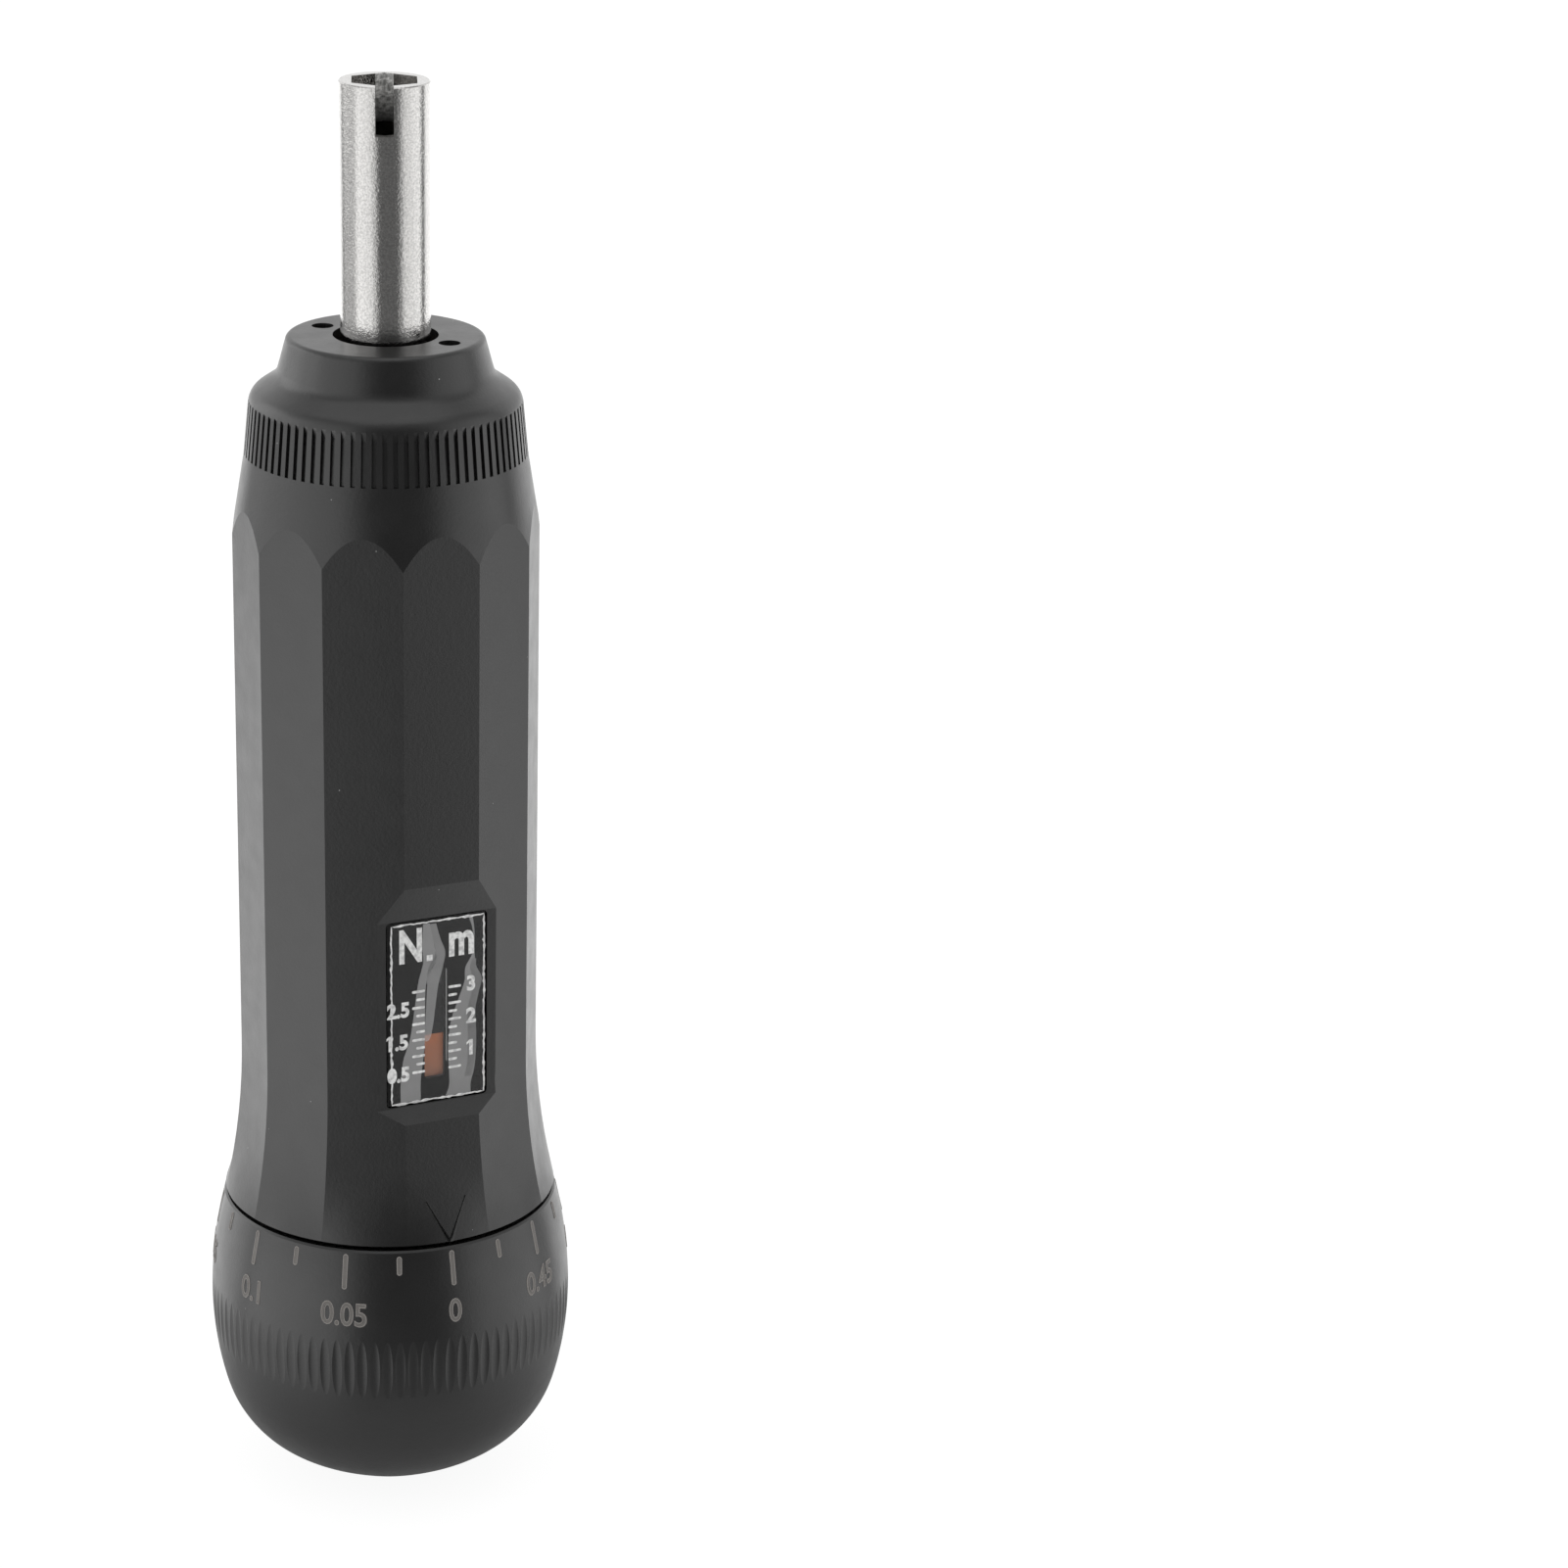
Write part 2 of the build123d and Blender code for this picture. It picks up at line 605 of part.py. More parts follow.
# ================================================================== setting
with BuildPart() as adjusting_nut:
    with BuildSketch(Plane.XY.offset(nut_z)):
        Circle(keyed_r)
        Rectangle(2 * key_r, key_width)
    extrude(amount=nut_height)
    with BuildSketch(Plane.XY.offset(nut_top_z)):
        Circle(spring_guide_r)
    extrude(amount=spring_guide_length)
    with BuildSketch(Plane.XY.offset(nut_z)):
        Circle(rod_r + running)
    extrude(amount=nut_height + spring_guide_length, mode=Mode.SUBTRACT)
    with BuildSketch(Plane.XY.offset(nut_z)):
        with Locations((0, -(indicator_root_r + keyed_r + overcut) / 2)):
            Rectangle(indicator_width, keyed_r - indicator_root_r + overcut)
    extrude(amount=nut_height, mode=Mode.SUBTRACT)
finish(adjusting_nut, "adjusting_nut")

with BuildPart() as indicator:
    with BuildSketch(Plane.XY.offset(indicator_top_z - indicator_length)):
        with Locations((0, -(indicator_root_r + indicator_face) / 2)):
            Rectangle(indicator_width, indicator_face - indicator_root_r)
    extrude(amount=indicator_length)
finish(indicator, "indicator")

with BuildPart() as adjusting_screw:
    with BuildSketch(Plane.XY.offset(knob_spigot_z)):
        Circle(rod_r)
    extrude(amount=rod_top_z - knob_spigot_z)
    chamfer(adjusting_screw.faces().sort_by(Axis.Z)[-1].edges(), rod_break)
    with BuildSketch(Plane.XY.offset(collar_z)):
        Circle(collar_r)
    extrude(amount=collar_thickness)
    with BuildSketch(Plane.XY.offset(shank_end_z)):
        two_flats(shank_r, shank_flats)
    extrude(amount=shank_length)
    with BuildSketch(Plane.XY.offset(shank_end_z)):
        Circle(screw_r + press)
    extrude(amount=screw_grip + screw_spare, mode=Mode.SUBTRACT)
finish(adjusting_screw, "adjusting_screw")

with BuildPart() as rear_plate:
    with BuildSketch(Plane.XY.offset(rear_plate_z)):
        ring(seat_r - press, rod_r + running)
    extrude(amount=rear_plate_thickness)
    with BuildSketch(Plane.XY.offset(rear_plate_z)):
        with PolarLocations(detent_pitch_r, detent_count):
            Circle(detent_hole_r)
    extrude(amount=detent_hole_depth, mode=Mode.SUBTRACT)
finish(rear_plate, "rear_plate")

with BuildPart() as rear_thrust_washer:
    with BuildSketch(Plane.XY.offset(seat_top_z)):
        ring(collar_r, rod_r + free_gap)
    extrude(amount=thrust_thickness)
finish(rear_thrust_washer, "rear_thrust_washer")

with BuildPart() as knob_spacer:
    with BuildSketch(Plane.XY.offset(knob_spigot_z)):
        ring(rod_r + running + spacer_wall, rod_r + running)
    extrude(amount=rear_plate_z - knob_spigot_z)
finish(knob_spacer, "knob_spacer")

# sprung ring with an eye at each end for the pliers
with BuildPart() as retaining_ring:
    with BuildSketch(Plane.XY.offset(ring_z)):
        ring(ring_r, ring_r - ring_width)
        with Locations((0, ring_r)):
            Rectangle(ring_gap, 2 * (ring_width + overcut), mode=Mode.SUBTRACT)
        eye_x = ring_gap / 2 + ring_eye_r
        eye_y = sqrt((ring_r - ring_eye_r - ring_eye_inset) ** 2 - eye_x ** 2)
        with Locations((eye_x, eye_y), (-eye_x, eye_y)):
            Circle(ring_eye_r)
            Circle(ring_eye_hole_r, mode=Mode.SUBTRACT)
    extrude(amount=ring_thickness)
finish(retaining_ring, "retaining_ring")


# ================================================================== knob fastening and detent
with BuildPart() as knob_screw:
    with BuildSketch(Plane.XY.offset(screw_head_z)):
        Circle(screw_head_r)
    extrude(amount=screw_head_height)
    with BuildSketch(Plane.XY.offset(screw_seat_z)):
        Circle(screw_r)
    extrude(amount=shank_end_z + screw_grip - screw_seat_z)
    with BuildSketch(Plane.XY.offset(screw_head_z)):
        RegularPolygon(screw_key / 2, 6, major_radius=False)
    extrude(amount=screw_key_depth, mode=Mode.SUBTRACT)
finish(knob_screw, "knob_screw")

detent_z = rear_plate_z - detent_play - detent_r
with BuildPart(Plane.XY.offset(detent_z)) as detent_ball:
    with Locations((detent_pitch_r, 0)):
        Sphere(detent_r)
finish(detent_ball, "detent_ball")

with BuildPart() as detent_spring:
    with BuildLine(Plane((detent_pitch_r, 0, detent_floor_z + detent_wire_r))) as small_coil:
        Helix(pitch=(detent_spring_length - 2 * detent_wire_r) / detent_turns,
              height=detent_spring_length - 2 * detent_wire_r,
              radius=detent_r - 2 * detent_wire_r)
    with BuildSketch(Plane(small_coil.line @ 0, z_dir=small_coil.line % 0)):
        RegularPolygon(detent_wire_r, 6)
    sweep(is_frenet=True)
finish(detent_spring, "detent_spring")
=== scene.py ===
import random
from math import atan2, cos, pi, radians, sin, sqrt, tau

import bmesh
import bpy
from mathutils import Matrix, Vector
from mathutils.bvhtree import BVHTree


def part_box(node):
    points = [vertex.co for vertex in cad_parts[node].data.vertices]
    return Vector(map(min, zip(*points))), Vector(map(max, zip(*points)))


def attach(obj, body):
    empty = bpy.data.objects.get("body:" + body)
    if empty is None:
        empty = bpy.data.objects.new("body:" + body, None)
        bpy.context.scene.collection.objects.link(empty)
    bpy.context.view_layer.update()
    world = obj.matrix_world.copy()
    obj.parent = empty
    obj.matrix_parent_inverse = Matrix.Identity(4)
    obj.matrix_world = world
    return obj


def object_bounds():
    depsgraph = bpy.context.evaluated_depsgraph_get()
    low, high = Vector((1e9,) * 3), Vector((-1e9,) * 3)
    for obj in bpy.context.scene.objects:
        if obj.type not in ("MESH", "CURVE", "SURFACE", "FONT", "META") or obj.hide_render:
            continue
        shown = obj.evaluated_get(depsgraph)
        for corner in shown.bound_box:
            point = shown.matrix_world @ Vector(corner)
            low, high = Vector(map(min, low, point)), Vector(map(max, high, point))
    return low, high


# The torque screwdriver's looks. Metres, in the frame of the CAD model: +Z runs up the tool from
# the knob to the bit holder, and the torque window faces -Y.
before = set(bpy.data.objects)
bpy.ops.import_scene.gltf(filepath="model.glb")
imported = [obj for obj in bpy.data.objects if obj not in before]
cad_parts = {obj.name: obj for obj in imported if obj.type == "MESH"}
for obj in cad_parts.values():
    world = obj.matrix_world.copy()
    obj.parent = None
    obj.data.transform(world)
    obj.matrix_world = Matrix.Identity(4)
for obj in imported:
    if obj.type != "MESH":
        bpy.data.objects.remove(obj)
cad_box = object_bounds()
MM = 0.001
white = (1.0, 1.0, 1.0, 1.0)

# ------------------------------------------------------------------ viewpoint
camera_place = (-0.1520, -0.4001, 0.2295)
camera_turn = 5.469      # degrees to the right of the tool's axis
camera_dip = 19.551      # degrees down
camera_roll = 1.518      # degrees
camera_lens = 100.77     # mm, on a sensor 36 mm wide

# ------------------------------------------------------------------ light and surroundings
front_x, front_y = -0.3551, -0.9348  # from the tool to the open front of the white tent
room_light = 0.85        # soft light from all round, on everything
overhead = 0.36          # what shiny parts see straight above
overhead_blend = (0.35, 0.95)        # sine of the height at which it starts and is full
mirrored_foot_shadow = 0.36        # what they see in the floor right round the foot: a painted shadow of the tool
near_blend = (0.022, 0.075)          # from the axis, where it starts to fade and is gone
# what they see round the tool: degrees to the right of the front, and brightness
tent = (
    (-180, 1.0), (-103, 1.0), (-99, 0.35), (-95, 0.35), (-91, 0.98), (-34, 0.78),
    (-16, 0.11), (34, 0.11), (54, 0.68), (100, 0.80), (108, 0.30), (115, 0.30), (121, 0.95),
    (150, 1.0), (180, 1.0),
)
# the same for the floor's outer part, which only the shank shows
far_tent = (
    (-180, 1.0), (-139, 1.0), (-135, 0.06), (-130, 0.06), (-125, 0.45), (-116, 0.34),
    (-84, 0.34), (-74, 0.92), (-34, 0.78), (-16, 0.11), (34, 0.11), (50, 0.70), (101, 0.90),
    (107, 0.10), (116, 0.10), (122, 0.95), (150, 1.0), (180, 1.0),
)
far_blend = (0.355, 0.410)           # from the axis, where it starts and is full
floor_reach = 3.0        # half the floor's side
floor_glow = 0.92        # the floor's own white, to the camera
floor_shadow = 0.14      # its matt white on top of that, which is less in the tool's shadow
floor_tone = 0.80        # the floor as it lights the tool
mirror_glow, mirror_tone = 0.5, 0.9  # the floor in shiny parts: its own light, and its colour
# name, degrees round from the front, size, distance, watts
soft_boxes = (
    ("left_box", -108.0, 0.75, 0.75, 1.08),
    ("right_box", 102.0, 0.75, 0.75, 0.20),
    ("top_box", None, 0.60, 0.60, 0.50),
)
box_lift = 0.15          # height of a side box over its distance from the tool

# ------------------------------------------------------------------ bit holder's mouth
shaft_radius = 4.5 * MM
rim_break = 0.12 * MM            # the broken edge round the mouth
socket_corner = 3.695 * MM       # corner of the hexagon from the axis
socket_slot_width = 1.8 * MM
socket_slot_depth = 4.8 * MM
socket_slot_turn = radians(69.2)  # of the far side, round from +X
socket_shade = 0.8               # share of the slot's depth over which painted shade darkens its inside

# ------------------------------------------------------------------ knob scale
knob_divisions = 20      # a stroke every 18 degrees, numbered every second one
number_step = 0.05       # N.m from one number to the next
long_stroke = (28.2 * MM, 31.75 * MM)
short_stroke = (29.8 * MM, 31.65 * MM)
stroke_width = 0.50 * MM
number_height = 2.6 * MM
number_middle = 25.5 * MM
number_squeeze = 0.86    # the figures are narrow
number_weight = 0.012
mark_rim = 0.055 * MM    # engraved marks have a light rim this wide, a painted highlight on their edges
mark_proud = 0.012 * MM  # the marks are flush; this keeps them clear of the surface
longest_edge = 0.45 * MM  # of a mark that bends round the knob
# the marks' fill, and the painted highlight on their rims
mark_tint, mark_highlight_tint = (0.17, 0.16, 0.15), (0.30, 0.28, 0.265)

# ------------------------------------------------------------------ window print
scale_zero = 48.66 * MM  # height of 0 N.m on the window's scale
scale_pitch = 3.55 * MM  # 1 N.m
scale_low, scale_high, scale_step = 0.5, 3.0, 0.25
tick_start = 1.28 * MM   # from the middle of the slit
long_tick, short_tick = 1.40 * MM, 0.96 * MM
tick_width = 0.30 * MM
print_middle = 0.05 * MM  # the strokes' middle stands a little to the right
figure_height = 1.72 * MM
figure_weight = 0.042
whole_figures = (3.82 * MM, 0.1 * MM, 0.95)   # from the middle, above their stroke, squeeze
half_figures = (-4.14 * MM, 0.0, 0.92)
# letter, height, squeeze, and the place of its middle
unit_letters = (("N", 3.72 * MM, 0.71, -2.76 * MM, 64.42 * MM),
                ("m", 2.66 * MM, 0.75, 2.77 * MM, 63.94 * MM))
unit_weight = 0.035
unit_dot, unit_dot_x, unit_dot_y = 0.64 * MM, -0.70 * MM, 62.83 * MM

# ------------------------------------------------------------------ film on the window
film_gap = 0.010 * MM    # from each layer on the lens to the next
film_left, film_right = -4.87 * MM, 5.22 * MM
film_low, film_high = 47.20 * MM, 66.78 * MM
film_line = 0.17 * MM    # the film's cut edge is about this wide
film_half_widths = (0.4, 0.5, 0.5, 0.6, 0.9)  # as shares of it, drawn by chance
film_sway = 0.05 * MM    # that edge is uneven
film_step = 0.35 * MM
print_layer, film_layer, air_layer, edge_layer = 3, 1, 2, 4
# strength and tone of what is seen through: the veil, and the painted reflections of air under it
veil_look, wide_reflection_look, thin_reflection_look = (0.10, 0.30), (0.50, 0.52), (0.44, 0.52)
air_steps = 6            # from each point of a band's outline to the next
# painted reflections where air is caught under the film, from the top down: height, left and right
# edge in mm
air_reflections = {
    "air_reflection_left": ((66.6, -1.4, -0.7), (64.2, -1.5, -0.2), (62.4, -1.4, 0.0), (60.0, -2.0, -1.1),
                 (54.5, -2.8, -1.2), (52.0, -3.6, -1.4), (49.5, -3.9, -1.7), (47.3, -3.9, -1.7)),
    "air_reflection_middle": ((66.5, -0.7, 0.0), (64.7, -0.3, 0.5), (63.2, -0.1, 1.0), (61.5, -0.9, 0.7),
                   (59.5, -1.0, 0.2), (55.0, -1.2, -0.4), (53.7, -1.2, -0.8)),
    "air_reflection_right": ((66.6, 3.6, 4.0), (65.1, 4.0, 4.2), (62.8, 4.0, 4.2), (61.2, 3.2, 4.4),
                  (59.7, 3.1, 5.0), (57.5, 2.3, 4.4), (55.5, 1.6, 4.3), (52.8, 1.3, 4.4),
                  (50.0, 1.4, 4.2), (48.4, 1.4, 3.8), (47.3, 1.0, 3.8)),
    # a painted highlight along the slit's right edge
    "slit_edge_highlight": ((61.4, 1.03, 1.17), (51.2, 1.03, 1.17)),
    "air_reflection_edge": ((62.0, 4.0, 4.4), (61.0, 3.7, 4.4), (59.8, 4.0, 5.0), (58.0, 3.8, 4.6),
                 (56.3, 3.4, 4.3), (53.5, 3.5, 4.4), (50.9, 3.4, 4.2), (49.1, 3.1, 3.9)),
}


# ================================================================== helpers
def collection_link(obj):
    """Put a new object in the scene, and hand it back."""
    bpy.context.scene.collection.objects.link(obj)
    return obj


def mesh_object(name, bm, material):
    """A new object from a bmesh, with one material."""
    mesh = bpy.data.meshes.new(name)
    bm.to_mesh(mesh)
    bm.free()
    mesh.materials.append(material)
    return collection_link(bpy.data.objects.new(name, mesh))


def new_material(name):
    material = bpy.data.materials.new(name)
    material.use_nodes = True
    return material


class Tree:
    """Short ways to add and join nodes in one material."""

    def __init__(self, material):
        self.nodes = material.node_tree.nodes
        self.links = material.node_tree.links
        self.shader = self.nodes["Principled BSDF"]
        self.output = self.nodes["Material Output"]
        self.place = self.nodes.new("ShaderNodeTexCoord").outputs["Object"]

    def join(self, source, socket):
        self.links.new(source, socket)

    def set(self, **values):
        for name, value in values.items():
            self.shader.inputs[name.replace("_", " ")].default_value = value

    def noise(self, size, detail=2.0, roughness=0.5, stretch=None):
        """Noise whose blotches are about size metres across."""
        node = self.nodes.new("ShaderNodeTexNoise")
        node.inputs["Scale"].default_value = 1.0 / size
        node.inputs["Detail"].default_value = detail
        node.inputs["Roughness"].default_value = roughness
        source = self.place
        if stretch:
            mapping = self.nodes.new("ShaderNodeMapping")
            mapping.inputs["Scale"].default_value = stretch
            self.join(self.place, mapping.inputs["Vector"])
            source = mapping.outputs["Vector"]
        self.join(source, node.inputs["Vector"])
        return node.outputs["Fac"]

    def height(self):
        """Height up the tool's axis in metres."""
        node = self.nodes.new("ShaderNodeSeparateXYZ")
        self.join(self.place, node.inputs["Vector"])
        return node.outputs["Z"]

    def cells(self, size):
        """Cells about size metres across: their colour, and the distance from their middle."""
        node = self.nodes.new("ShaderNodeTexVoronoi")
        node.inputs["Scale"].default_value = 1.0 / size
        self.join(self.place, node.inputs["Vector"])
        return node

    def span(self, value, low, high, to_low, to_high):
        """Map a value from one range to another, held at its ends."""
        node = self.nodes.new("ShaderNodeMapRange")
        self.join(value, node.inputs["Value"])
        for name, number in (("From Min", low), ("From Max", high),
                             ("To Min", to_low), ("To Max", to_high)):
            node.inputs[name].default_value = number
        return node.outputs["Result"]

    def maths(self, operation, a, b):
        node = self.nodes.new("ShaderNodeMath")
        node.operation = operation
        for socket, value in zip(node.inputs, (a, b)):
            if isinstance(value, (int, float)):
                socket.default_value = value
            else:
                self.join(value, socket)
        return node.outputs["Value"]

    def mix(self, factor, a, b):
        """Mix two colours, each a socket or a tuple."""
        node = self.nodes.new("ShaderNodeMix")
        node.data_type = "RGBA"
        self.join(factor, node.inputs["Factor"])
        colour_inputs = [s for s in node.inputs if s.type == "RGBA"]
        for socket, value in zip(colour_inputs, (a, b)):
            if isinstance(value, tuple):
                socket.default_value = (*value, 1.0)
            else:
                self.join(value, socket)
        return next(s for s in node.outputs if s.type == "RGBA")

    def bump(self, height, depth, strength=1.0, under=None):
        node = self.nodes.new("ShaderNodeBump")
        node.inputs["Strength"].default_value = strength
        node.inputs["Distance"].default_value = depth
        self.join(height, node.inputs["Height"])
        if under:
            self.join(under, node.inputs["Normal"])
        return node.outputs["Normal"]

    def finish(self, colour, roughness, normal):
        """Join the surface's colour, roughness and normal, each a socket or None."""
        for source, name in ((colour, "Base Color"), (roughness, "Roughness"), (normal, "Normal")):
            if source is not None:
                self.join(source, self.shader.inputs[name])


# ================================================================== materials
def anodised(name, tone=0.0065):
    """Bead-blasted, black anodised aluminium with a soft sheen and a few specks of dust."""
    material = new_material(name)
    tree = Tree(material)
    tree.set(Specular_IOR_Level=0.95)
    blotch = tree.noise(9 * MM, detail=3.0)
    dark = (tone * 0.85, tone * 0.85, tone * 0.86)
    light = (tone * 1.25, tone * 1.25, tone * 1.25)
    colour = tree.mix(blotch, dark, light)
    dust = tree.cells(3.0 * MM)
    near = tree.maths("LESS_THAN", dust.outputs["Distance"], 0.022)
    split = tree.nodes.new("ShaderNodeSeparateColor")
    tree.join(dust.outputs["Color"], split.inputs["Color"])
    few = tree.maths("GREATER_THAN", split.outputs["Red"], 0.5)
    speck = tree.maths("MULTIPLY", near, few)
    colour = tree.mix(speck, colour, (0.30, 0.30, 0.30))
    coarse = tree.bump(tree.noise(0.38 * MM, detail=2.0, roughness=0.6), 0.016 * MM, 0.8)
    grain = tree.noise(0.16 * MM, detail=2.0, roughness=0.6)
    roughness = tree.span(tree.noise(2.5 * MM, detail=4.0), 0.3, 0.7, 0.30, 0.36)
    tree.finish(colour, roughness, tree.bump(grain, 0.012 * MM, 0.6, under=coarse))
    return material


def nickel(name, tint=(0.70, 0.69, 0.675), rough=0.10):
    """Bright nickel plate with a fine orange-peel skin."""
    material = new_material(name)
    tree = Tree(material)
    tree.set(Metallic=1.0)
    peel = tree.noise(0.30 * MM, detail=2.0, roughness=0.55)
    fine = tree.noise(0.13 * MM, detail=1.0)
    blotch = tree.noise(3.0 * MM, detail=3.0)
    speckle = tree.span(tree.noise(0.20 * MM, detail=2.0), 0.36, 0.64, 0.0, 1.0)
    colour = tree.mix(speckle, tuple(0.78 * c for c in tint), tuple(1.05 * c for c in tint))
    roughness = tree.span(blotch, 0.3, 0.7, rough - 0.04, rough + 0.06)
    normal = tree.bump(peel, 0.027 * MM, 0.9)
    normal = tree.bump(fine, 0.014 * MM, 0.9, under=normal)
    tree.finish(colour, roughness, normal)
    return material


def grained_nickel(name, low, high):
    """Plate on the rough inside of the socket, in painted shade: dark at the height low and bright
    at high.
    """
    material = new_material(name)
    tree = Tree(material)
    tree.set(Metallic=0.35)
    blotch = tree.noise(0.4 * MM, detail=3.0)
    speckle = tree.span(blotch, 0.35, 0.65, 0.0, 1.0)
    plate = tree.mix(speckle, (0.34, 0.34, 0.33), (1.0, 0.99, 0.97))
    # painted shade: near black at the slot's foot, the plate's own colour higher up
    colour = tree.mix(tree.span(tree.height(), low, high, 0.0, 1.0), (0.02, 0.02, 0.02), plate)
    normal = tree.bump(tree.noise(0.32 * MM, detail=2.0), 0.12 * MM, 1.0)
    tree.finish(colour, tree.span(blotch, 0.3, 0.7, 0.36, 0.50), normal)
    return material


def turned_metal(name, tint, rough=0.3, metallic=1.0, grain=0.35):
    """Machined metal with fine rings round the tool's axis."""
    material = new_material(name)
    tree = Tree(material)
    tree.set(Metallic=metallic)
    rings = tree.noise(grain * MM, detail=3.0, stretch=(0.02, 0.02, 1.0))
    blotch = tree.noise(4.0 * MM, detail=3.0)
    colour = tree.mix(blotch, tuple(0.82 * c for c in tint), tint)
    roughness = tree.span(rings, 0.3, 0.7, rough - 0.06, rough + 0.08)
    tree.finish(colour, roughness, tree.bump(rings, 0.01 * MM, 0.5))
    return material


def plain_paint(name, tint, rough=0.5, spread=0.9, grain=0.2):
    """Matt paint or print: nearly one colour, with a little unevenness and tooth."""
    material = new_material(name)
    tree = Tree(material)
    blotch = tree.noise(0.8 * MM, detail=3.0)
    colour = tree.mix(blotch, tuple(spread * c for c in tint), tint)
    roughness = tree.span(blotch, 0.3, 0.7, rough - 0.05, rough + 0.05)
    tree.finish(colour, roughness, tree.bump(tree.noise(grain * MM), 0.01 * MM, 0.4))
    return material


def worn_print(name):
    """White screen print, a little thin in places."""
    material = new_material(name)
    tree = Tree(material)
    patch = tree.noise(0.45 * MM, detail=3.0)
    worn = tree.span(patch, 0.35, 0.6, 0.0, 1.0)
    colour = tree.mix(worn, (0.50, 0.50, 0.50), (0.80, 0.80, 0.79))
    tree.finish(colour, tree.span(patch, 0.3, 0.7, 0.45, 0.60),
                tree.bump(tree.noise(0.12 * MM), 0.01 * MM, 0.4))
    return material


def thin_film(name, strength, tone):
    """A pale veil that lets most of what is under it through."""
    material = new_material(name)
    tree = Tree(material)
    tree.set(Alpha=strength)
    patch = tree.noise(3.0 * MM, detail=2.0)
    colour = tree.mix(patch, (0.8 * tone,) * 3, (1.1 * tone,) * 3)
    tree.finish(colour, tree.span(patch, 0.3, 0.7, 0.40, 0.55),
                tree.bump(tree.noise(1.2 * MM), 0.02 * MM, 0.3))
    return material


def clear_acrylic(name):
    """The window: clear and glossy. It lets the lamps through to what is under it."""
    material = new_material(name)
    tree = Tree(material)
    tree.set(Base_Color=(0.97, 0.98, 0.98, 1.0), Transmission_Weight=1.0, IOR=1.49)
    wave = tree.noise(5.0 * MM, detail=0.0)
    roughness = tree.span(tree.noise(1.5 * MM, detail=3.0), 0.3, 0.8, 0.02, 0.06)
    tree.finish(None, roughness, tree.bump(wave, 0.10 * MM, 0.25))
    clear = tree.nodes.new("ShaderNodeBsdfTransparent")
    path = tree.nodes.new("ShaderNodeLightPath")
    choose = tree.nodes.new("ShaderNodeMixShader")
    tree.join(path.outputs["Is Shadow Ray"], choose.inputs["Fac"])
    tree.join(tree.shader.outputs["BSDF"], choose.inputs[1])
    tree.join(clear.outputs["BSDF"], choose.inputs[2])
    tree.join(choose.outputs["Shader"], tree.output.inputs["Surface"])
    return material


def bar_paint(name):
    """The indicator: orange paint on the face under the slit, near black elsewhere as painted
    shade.
    """
    material = new_material(name)
    tree = Tree(material)
    split = tree.nodes.new("ShaderNodeSeparateXYZ")
    tree.join(tree.nodes.new("ShaderNodeTexCoord").outputs["Normal"], split.inputs["Vector"])
    facing = tree.maths("LESS_THAN", split.outputs["Y"], -0.7)
    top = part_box("indicator")[1].z
    # the paint turns darker and rougher over the 5 mm below the bar's top
    downward_fade = tree.span(tree.height(), top - 5.0 * MM, top, 0.25, 1.0)
    patch = tree.maths("MULTIPLY", downward_fade, tree.span(tree.noise(1.2 * MM), 0.3, 0.7, 0.8, 1.0))
    paint = tree.mix(patch, (0.62, 0.30, 0.20), (1.0, 0.30, 0.10))
    # near black off the front face: painted shade where its top shows in the slit above the bar
    colour = tree.mix(facing, (0.012, 0.011, 0.011), paint)
    tree.finish(colour, tree.span(patch, 0.2, 1.0, 0.55, 0.42),
                tree.bump(tree.noise(0.2 * MM), 0.01 * MM, 0.3))
    return material


def dress(node, material):
    """Put one material on a CAD node."""
    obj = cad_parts[node]
    obj.data.materials.clear()
    obj.data.materials.append(material)


def dress_all():
    """Give every CAD node its material."""
    anodised_black = anodised("anodised_black")
    for node in ("handle", "nose_cap", "knob"):
        dress(node, anodised_black)
    dress("bit_holder", nickel("nickel_plate"))
    dress("window_lens", clear_acrylic("clear_acrylic"))
    dress("scale_plate", plain_paint("scale_black", (0.010, 0.010, 0.011), 0.50))
    dress("indicator", bar_paint("indicator_orange"))
    steel = turned_metal("bright_steel", (0.62, 0.62, 0.63), 0.28)
    hard = turned_metal("hardened_steel", (0.42, 0.42, 0.43), 0.32)
    spring = turned_metal("spring_steel", (0.34, 0.34, 0.36), 0.36)
    bronze = turned_metal("bronze", (0.22, 0.15, 0.09), 0.42)
    black_steel = turned_metal("black_steel", (0.05, 0.05, 0.05), 0.45)
    for material, nodes in (
        (steel, ("adjusting_screw", "knob_spacer", "clutch_balls", "detent_ball")),
        (hard, ("clutch_cam", "pressure_plate", "front_thrust_washer", "rear_thrust_washer",
                "spring_washer", "rear_plate")),
        (spring, ("detent_spring", "retaining_ring", "cam_circlip")),
        (bronze, ("nose_bush",)),
        # black-oxide steel; the adjusting nut's black is also painted shade for the slit above the
        # bar
        (black_steel, ("knob_screw", "adjusting_nut", "main_spring")),
        (turned_metal("magnet_nickel", (0.60, 0.60, 0.60), 0.22), ("bit_magnet",)),
    ):
        for node in nodes:
            dress(node, material)


